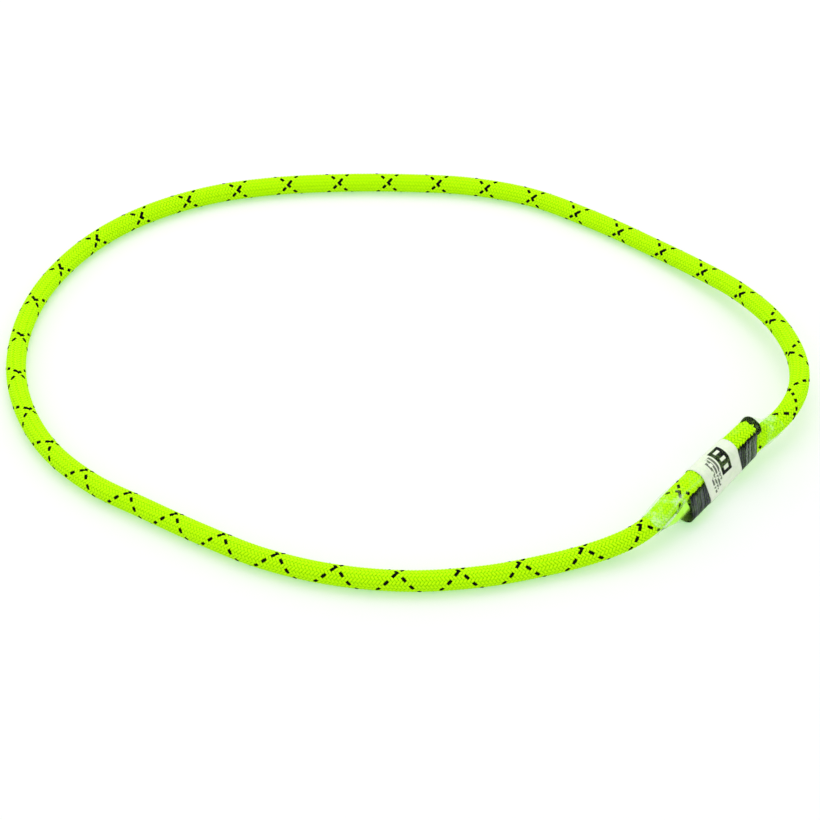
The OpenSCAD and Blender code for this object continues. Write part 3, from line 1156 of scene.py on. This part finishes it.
@dataclass
class SewnRow:
    """A dense row of thread over one face of the pair: each pass runs square to the rope."""

    splice: SpliceFrame
    face: float = 0.0053
    flank: float = 0.00492
    thread_d: float = 0.00056
    pitch: float = 0.00060
    length: float = 0.0515
    middle: float = -0.00175
    top: float = 0.0054
    inner_top: float = -0.0015
    top_slope: float = 0.053
    bottom: float = -0.0091
    ragged: float = 0.0006
    ragged_bottom: float = 0.5
    # A pass's lower end lies this far back along the splice, and stops short of the strand's end.
    slant: float = 0.0042
    last: float = 0.0006
    # Chance shifts: along the splice as a share of the pitch, and out from the face.
    stray: float = 0.22
    stand: float = 0.00004
    # The thread sinks by slack between the strands, over this share of their half distance.
    slack: float = 0.00025
    slack_share: float = 0.6
    # It dives into the sheath at both ends of a pass.
    dive: float = 0.0011
    dive_edge: float = 0.95
    dive_softness: float = 0.1
    # Light of a pass: middle and chance spread of its own tone, painted shade darker at its top, where it
    # rounds into the groove by the upper strand, and painted light paler up the splice.
    light: float = 0.5
    light_spread: float = 0.45
    dark_top: float = 0.16
    dark_softness: float = 0.2
    paler: float = 12.0
    fibre_shift: float = 0.13
    thread_sides: int = 6
    steps: int = 18
    outer_seed: int = 11
    inner_seed: int = 47

    def tree(self) -> ShapeTree:
        """Return the tree that lays the passes of thread over one face of the pair."""
        shape = ShapeTree("thread_passes")
        count, seed = shape.asked("Int", "Passes", "Seed")
        side, pitch, face, top, bottom, ragged, thread_r = shape.asked(
            "Float", "Side", "Pitch", "Face", "Top", "Bottom", "Ragged", "Thread Radius"
        )
        middle, ahead, inward, upward = shape.asked("Vector", "Middle", "Ahead", "Inward", "Upward")
        copies, number = shape.copies(count)

        def chance(step: int) -> Field:
            """Return a value from -1 to 1 for each pass."""
            given = {"ID": number, "Seed": seed + step, 2: -1.0, 3: 1.0}
            node = shape.add("FunctionNodeRandomValue", given, data_type="FLOAT")
            return Field(shape.group, node.outputs[1])

        part = shape.attribute("part")
        splice = self.splice
        half = splice.pair_pitch / 2
        s = (number - (count * 0.5 - 0.5) + chance(1) * self.stray) * pitch + self.middle
        s = (s + (0.5 - part) * self.slant).maths("MAXIMUM", self.last - splice.overlap / 2)
        high = top + s * self.top_slope + ragged * chance(2)
        low = bottom + ragged * self.ragged_bottom * chance(3)
        y = high + (low - high) * part
        # The thread lies flat from one strand to the other and bends round both strands' flanks.
        over = (y.maths("ABSOLUTE") - half).maths("MAXIMUM", 0.0) / self.flank
        bend = (1.0 - over * over).maths("SQRT") * face
        groove = (1.0 - (y / (half * self.slack_share)).maths("POWER", 2.0)).clamped() * self.slack
        from_middle = (part * 2.0 - 1.0).maths("ABSOLUTE")
        ends = from_middle.above(self.dive_edge, self.dive_softness) * self.dive
        x = (bend - groove - ends + chance(4) * self.stand) * side
        lean = (s / splice.overlap + 0.5).clamped() * (splice.lean_high - splice.lean_low) + splice.lean_low
        inner = inward.times(x * lean.cos() + y * lean.sin())
        outer = upward.times(y * lean.cos() - x * lean.sin())
        place = middle.plus(ahead.times(s)).plus(inner).plus(outer)
        fibre = part * (self.top - self.bottom) + number * self.fibre_shift
        marked = shape.stored(copies, "along", fibre)
        # A chance tone for each pass, with painted shade at its top and painted light up the splice.
        tone_and_shade = (chance(5) * self.light_spread + self.light) * part.above(self.dark_top, self.dark_softness)
        marked = shape.stored(marked, "tone_and_shade", tone_and_shade * (s * self.paler + 1.0))
        laid = shape.add("GeometryNodeSetPosition", {"Geometry": marked, "Position": place})
        swept = shape.swept(laid.outputs[0], inward.times(side), thread_r, thread_r, self.thread_sides)
        shape.finished(swept)
        return shape

    def build(self) -> None:
        """Build the thread on both faces of the pair."""
        part = np.linspace(0, 1, self.steps)
        line = line_mesh("one_pass", np.stack([part, 0 * part, 0 * part], 1), {"part": part})
        tree = self.tree()
        sizes = {
            "Passes": round(self.length / self.pitch),
            "Pitch": self.pitch,
            "Face": self.face,
            "Bottom": self.bottom,
            "Ragged": self.ragged,
            "Thread Radius": self.thread_d / 2,
            "Middle": self.splice.middle,
            "Ahead": self.splice.ahead.tolist(),
            "Inward": self.splice.inward.tolist(),
            "Upward": self.splice.upward.tolist(),
            "Material": SEWING_THREAD.build(),
        }
        # Each face with its side, the height of its upper edge and its seed.
        outer = ("outer", -1.0, self.top, self.outer_seed)
        inner = ("inner", 1.0, self.inner_top, self.inner_seed)
        for face, side, top, seed in (outer, inner):
            given = {**sizes, "Side": side, "Top": top, "Seed": seed}
            piece = tree.grown(f"{face}_thread_row", line, given)
            settle(piece, "thread", f"{face}_stitching")


@dataclass
class EndSeal:
    """The black cap on one rope end: a lumpy face and a ragged collar over the sheath."""

    splice: SpliceFrame
    side: Side
    name: str
    node: str
    radius: float = 0.00516
    collar: float = 0.0035
    ragged: float = 0.0008
    lumps: float = 0.00008
    crown: float = 0.0005
    thinning: float = 0.00025
    press_w: float = 1.04
    press_h: float = 0.99
    sides: int = 72
    # Shares of the radius at the face's first and last ring, and of the collar at its first ring.
    face_from: float = 0.04
    face_to: float = 0.93
    collar_from: float = 0.06
    face_rings: int = 9
    collar_rings: int = 8
    # The inside is closed by two rings, at shares of the radius and a share of the collar's depth.
    closing: tuple[float, float] = (0.9, 0.04)
    closing_depth: float = 0.9
    # An uneven edge is a sum of waves with these numbers of crests, the least one this strong.
    crests: tuple[int, int] = (2, 15)
    least_wave: float = 0.4
    seed: int = 5
    face_seed: int = 3
    collar_seeds: int = 9

    def ripple(self, turns: Array, seed: int) -> Array:
        """Return an uneven value from -1 to 1 for each angle."""
        random = np.random.default_rng(seed)
        waves = sum(
            np.sin(k * turns + random.uniform(0, math.tau))
            * random.uniform(self.least_wave, 1.0)
            / math.sqrt(k)
            for k in range(*self.crests)
        )
        return waves / np.abs(waves).max()

    def ring(self, radius: Array, inside: Array) -> Array:
        """Return a ring of points: radius, and depth inside the rope from its end, at each angle."""
        turns = np.linspace(0, math.tau, self.sides, endpoint=False)
        x = radius * np.cos(turns) * self.press_w
        y = radius * np.sin(turns) * self.press_h + self.side.value * self.splice.pair_pitch / 2
        s = self.side.value * (self.splice.overlap / 2 - inside)
        return self.splice.point(s, x, y)

    def rings(self) -> Array:
        """Return the cap's rings: over the face, along the collar and back inside."""
        turns = np.linspace(0, math.tau, self.sides, endpoint=False)
        seed = self.seed + self.side.value
        edge = self.collar + self.ragged * self.ripple(turns, seed)
        rings = []
        for share in np.linspace(self.face_from, self.face_to, self.face_rings):
            lumpy = self.lumps * 2 * self.ripple(turns, seed + self.face_seed) * share
            bulge = self.crown * (1 - share**2) + lumpy
            rings.append(self.ring(np.full(self.sides, self.radius * share), -bulge))
        for share in np.linspace(self.collar_from, 1.0, self.collar_rings):
            swell = self.lumps * self.ripple(turns, seed + round(share * self.collar_seeds))
            thin = self.thinning * share**3
            rings.append(self.ring(self.radius + swell - thin, edge * share))
        for share in self.closing:
            rings.append(self.ring(np.full(self.sides, self.radius * share), edge * self.closing_depth))
        return np.array(rings)

    def build(self) -> None:
        """Build the cap."""
        points = self.rings()
        count = len(points)
        faces = tube_faces(count, self.sides)
        faces.append(tuple(range(self.sides))[::-1])
        faces.append(tuple(range((count - 1) * self.sides, count * self.sides)))
        mesh = bpy.data.meshes.new(self.name)
        mesh.from_pydata(points.reshape(-1, 3).tolist(), [], faces)
        outer_face = mesh.polygons[len(faces) - 2]
        if np.array(outer_face.normal) @ self.splice.ahead * self.side.value < 0:
            mesh.flip_normals()
        mesh.polygons.foreach_set("use_smooth", [True] * len(faces))
        piece = placed(self.name, mesh)
        dress_piece(piece, END_SEAL)
        settle(piece, "end_seal", self.node)


@dataclass(frozen=True)
class SkinRing:
    """One ring of the sleeve's skin: points and their haze, length of rope, freedom to crease."""

    points: Array
    haze: Array
    run: float
    loose: float


@dataclass
class ShrinkSleeve:
    """The clear film over the splice: tight on the single rope at both ends, creased between."""

    course: RopeCourse
    wrap: Wrap
    film: float = 0.00025
    rope_gap: float = 0.00018
    low_run: float = 0.020
    high_run: float = 0.015
    low_web: float = 0.0165
    high_web: float = 0.0115
    slack: float = 0.0006
    overlap_stations: int = 60
    fade_stations: int = 36
    crease: float = 0.00010
    lip: float = 0.00016
    lip_rings: float = 2.0
    # Creases are a sum of waves: strength, crests round the film, crests along it, shift.
    waves: tuple[tuple[float, int, int, float], ...] = (
        (1.0, 9, 14, 0.0), (0.8, 17, -23, 1.3), (0.6, 31, 41, 0.4), (0.7, 5, -61, 2.1),
    )
    # How freely the film creases where it lies over both strands.
    tight: float = 0.35
    # How steeply the ended strand's lobe closes down.
    closing: float = 1.25
    end_haze: float = 0.3
    end_haze_run: float = 0.006
    web_haze: float = 2.4
    full_haze_gap: float = 0.0002
    clear_drop: float = 0.0045
    clear_fade: float = 0.002
    # Painted glints over both strands begin this far round, in radians, and grow this fast.
    glint_turn: float = 0.5
    glint_rise: float = 1.5
    # The painted highlight of the long crease: degrees round the upper strand at lengths of rope.
    streak_path: tuple[tuple[float, float], ...] = (
        (0.041, 162), (0.0576, 158), (0.0633, 153), (0.0716, 144),
    )
    streak_ramp: float = 0.006
    streak_degrees: float = 6.0
    # Shares of the glints that the milky web and the sleeve's upper end lose.
    web_calm: float = 0.85
    upper_calm: float = 0.2

    def fade_ring(self, run: float, beyond: float, side: Side, wall: float) -> SkinRing:
        """Return a ring past an end of the overlap, where one strand goes on alone.

        Args:
            run: Length of rope at the ring.
            beyond: Distance past the end of the overlap.
            side: The strand that has ended and whose lobe closes down.
            wall: Extra size of the ring.

        Returns:
            The ring. Past the lower strand's end it is milky where it stands off the upper
            strand's flank, and clear again further down.
        """
        cut = self.course.sections(self.course.u_at(np.array([run])))
        middle, inward, upward = cut.middle[0], cut.inward[0], cut.upward[0]
        pressed = float(cut.pressed[0])
        web = self.high_web if side is Side.UPPER else self.low_web
        loose = 0.0
        if side is Side.LOWER:
            loose = self.slack * math.sin(math.pi * min(1.0, beyond / self.low_run))
        single = self.course.rope_r + self.rope_gap + loose
        half_w = single + (self.wrap.half_w - single) * pressed + wall
        half_t = single + (self.wrap.half_t - single) * pressed + wall
        close = float(held(np.array(1 - beyond / web)))
        step = side.value * self.wrap.splice.pair_pitch * close**self.closing
        lifts = (step, 0.0) if side is Side.UPPER else (0.0, step)
        x, y = pair_outline(half_w, half_t, lifts, self.wrap.sides).T
        stand_off = held((np.hypot(x, y) - max(half_w, half_t)) / self.full_haze_gap)
        milky = stand_off * held(1 + (y + self.clear_drop) / self.clear_fade)
        web_haze = self.web_haze if side is Side.LOWER else 0.0
        haze = self.end_haze * float(eased(np.array(beyond / self.end_haze_run))) + web_haze * milky
        return SkinRing(middle + inward * x[:, None] + upward * y[:, None], haze, run, 1.0)

    def rings(self, wall: float) -> list[SkinRing]:
        """Return the skin's rings from the upper end to the lower end, thicker by a wall."""
        splice = self.wrap.splice
        total = self.course.length
        stack = [
            self.fade_ring(total - splice.overlap - beyond, beyond, Side.UPPER, wall)
            for beyond in np.linspace(self.high_run, 0, self.fade_stations, endpoint=False)
        ]
        for run in np.linspace(0, splice.overlap, self.overlap_stations):
            points = self.wrap.ring(splice.overlap / 2 - run, wall)
            stack.append(SkinRing(points, np.zeros(self.wrap.sides), run, self.tight))
        for beyond in np.linspace(0, self.low_run, self.fade_stations + 1)[1:]:
            stack.append(self.fade_ring(splice.overlap + beyond, beyond, Side.LOWER, wall))
        return stack

    def crease_highlight(self, skin: Array, runs: Array) -> Array:
        """Return where the painted highlight of one long crease lies, along the flank and then over the
        top.

        Args:
            skin: Points of the outer skin, as rings by sides by 3.
            runs: Length of rope at each ring.

        Returns:
            A mask for each point.
        """
        cut = self.course.sections(self.course.u_at(runs))
        out = skin - cut.middle[:, None]
        sideways, up = (out * cut.inward[:, None]).sum(-1), (out * cut.upward[:, None]).sum(-1)
        at, degrees = np.array(self.streak_path).T
        off = np.degrees(np.arctan2(up, sideways)) - np.interp(runs, at, degrees)[:, None]
        ends = held((runs - at[0]) / self.streak_ramp) * held((at[-1] - runs) / self.streak_ramp)
        return ends[:, None] * np.exp(-((off / self.streak_degrees) ** 2))

    def creased(self, skin: Array, loose: Array) -> Array:
        """Return the skin with fine creases and a rolled lip at both ends."""
        count, sides = skin.shape[:2]
        turns = np.linspace(0, math.tau, sides, endpoint=False)
        along = np.linspace(0, 1, count)[:, None]
        wave = sum(
            strength * np.sin(crests * turns + rows * along + shift)
            for strength, crests, rows, shift in self.waves
        ) / sum(strength for strength, *_ in self.waves)
        ends = np.minimum(np.arange(count), np.arange(count)[::-1])[:, None]
        rolled = self.lip * np.maximum(0, 1 - ends / self.lip_rings)
        lift = np.abs(wave) * self.crease * loose[:, None] + rolled
        centre = skin.mean(axis=1, keepdims=True)
        return skin + unit(skin - centre) * lift[..., None]

    def glints(self, haze: Array, runs: Array, loose: Array) -> Array:
        """Return where glints are painted, as if fine creases caught the light.

        Between the rope ends, where the film lies tight over the stitching, they show only on the
        strands' round backs.

        Args:
            haze: Haze at each point of the skin.
            runs: Length of rope at each ring.
            loose: Freedom to crease at each ring.

        Returns:
            A mask for each point.
        """
        turns = np.linspace(0, math.tau, self.wrap.sides, endpoint=False)
        backs = held(np.sin(turns - self.glint_turn) * self.glint_rise)
        upper = (runs > self.course.length / 2)[:, None]
        calm = (1 - self.web_calm * held(haze - self.end_haze)) * (1 - self.upper_calm * upper)
        return loose[:, None] * np.where((loose < 1.0)[:, None], backs, 1.0) * calm

    def build(self) -> None:
        """Build the sleeve."""
        rings = self.rings(self.film)
        loose, runs = np.array([(ring.loose, ring.run) for ring in rings]).T
        haze = np.array([ring.haze for ring in rings])
        outer = self.creased(np.array([ring.points for ring in rings]), loose)
        inner = self.creased(np.array([ring.points for ring in self.rings(0.0)]), loose)
        masks = {
            "haze": haze,
            "glint": self.glints(haze, runs, loose),
            "crease_highlight": self.crease_highlight(outer, runs),
        }
        piece = shell_piece("clear_sleeve", outer, inner, masks)
        dress_piece(piece, CLEAR_FILM)
        settle(piece, "sleeve", "shrink_sleeve")


@dataclass(frozen=True)
class Lamp:
    """A square lamp that points at the middle of the loop."""

    name: str
    place: tuple[float, float, float]
    size: float
    power: float

    def hang(self) -> None:
        """Hang the lamp."""
        data = bpy.data.lights.new(self.name, "AREA")
        data.size = self.size
        data.energy = self.power
        lamp = placed(self.name, data)
        lamp.location = self.place
        lamp.rotation_euler = (-Vector(self.place)).to_track_quat("-Z", "Y").to_euler()


@dataclass
class Studio:
    """Camera, floor, world and lamps."""

    eye: tuple[float, float, float] = (0.0035, -0.780, 0.7129)
    down: float = math.radians(43.54)
    focal_px: float = 2099.0
    frame_px: float = 820.0
    sensor: float = 36.0
    near: float = 0.01
    far: float = 50.0
    floor_size: float = 12.0
    floor_drop: float = 0.0002
    # The floor's colour in the light that it throws back, its colour as it is seen, and the glow that is
    # left in its shadows. The glow is seen by the camera alone. Because it is green against a seen colour
    # low in green, it paints green bounce light into the floor's shadows.
    floor_bounce: Color = (0.86, 0.86, 0.86)
    floor_color: Color = (0.61, 0.27, 0.645)
    shadow_glow: Color = (0.272, 0.674, 0.206)
    world_color: Color = (0.91, 1, 0.955)
    world_strength: float = 1.04
    lamps: tuple[Lamp, ...] = (
        Lamp("left_lamp", (-1.1, 0.3, 0.9), 0.7, 1.2),
        Lamp("right_lamp", (1.1, 0.3, 0.9), 0.7, 0.6),
        Lamp("top_lamp", (0.0, 0.6, 1.4), 1.2, 8.0),
    )

    def camera(self) -> None:
        """Place the camera."""
        data = bpy.data.cameras.new("camera")
        data.sensor_width = self.sensor
        data.lens = self.focal_px / self.frame_px * self.sensor
        data.clip_start, data.clip_end = self.near, self.far
        camera = placed("camera", data)
        camera.location = self.eye
        camera.rotation_euler = (math.pi / 2 - self.down, 0, 0)
        bpy.context.scene.camera = camera

    def floor(self) -> None:
        """Lay the white floor."""
        bpy.ops.mesh.primitive_plane_add(size=self.floor_size)
        floor = bpy.context.active_object
        floor.name = "floor"
        floor.location = (0, 0, -self.floor_drop)
        material = bpy.data.materials.new("white_floor")
        material.use_nodes = True
        tree = material.node_tree
        tree.nodes.clear()
        output = tree.nodes.new("ShaderNodeOutputMaterial")
        diffuse = tree.nodes.new("ShaderNodeBsdfDiffuse")
        # A glow for the camera alone: painted green light in the floor's shadows.
        glow = tree.nodes.new("ShaderNodeEmission")
        glow.inputs["Color"].default_value = (*self.shadow_glow, 1)
        path = tree.nodes.new("ShaderNodeLightPath")
        rays = ("Is Camera Ray", "Is Glossy Ray", "Is Transmission Ray")
        seen = greatest(Field(tree, path.outputs[name]) for name in rays)
        feed(tree, diffuse.inputs["Color"], mixed(tree, seen, self.floor_bounce, self.floor_color))
        feed(tree, glow.inputs["Strength"], seen)
        both = tree.nodes.new("ShaderNodeAddShader")
        tree.links.new(diffuse.outputs[0], both.inputs[0])
        tree.links.new(glow.outputs[0], both.inputs[1])
        tree.links.new(both.outputs[0], output.inputs["Surface"])
        floor.data.materials.append(material)

    def light(self) -> None:
        """Set the world and hang the lamps."""
        world = bpy.data.worlds.new("studio")
        bpy.context.scene.world = world
        world.use_nodes = True
        background = world.node_tree.nodes["Background"]
        background.inputs["Color"].default_value = (*self.world_color, 1)
        background.inputs["Strength"].default_value = self.world_strength
        for lamp in self.lamps:
            lamp.hang()
        bpy.context.scene.view_settings.view_transform = "Standard"


def dress_core() -> None:
    """Give the core strands inside the sheath their finish."""
    for name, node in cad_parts.items():
        if name.startswith("core_strand"):
            dress_piece(node, CORE_STRAND)


def main() -> None:
    """Build every piece in order."""
    logging.basicConfig(level=logging.INFO, format="%(name)s: %(message)s")
    studio = Studio()
    studio.camera()
    course = RopeCourse()
    BraidedSheath(course).build()
    dress_core()
    splice = course.splice
    SewnRow(splice).build()
    EndSeal(splice, Side.UPPER, "upper_seal_cap", "upper_end_seal").build()
    EndSeal(splice, Side.LOWER, "lower_seal_cap", "lower_end_seal").build()
    PrintedLabel(Wrap(splice, LABEL_HALF_W, LABEL_HALF_T)).build()
    ShrinkSleeve(course, Wrap(splice, SLEEVE_HALF_W, SLEEVE_HALF_T)).build()
    studio.floor()
    studio.light()


if __name__ == "__main__":
    main()
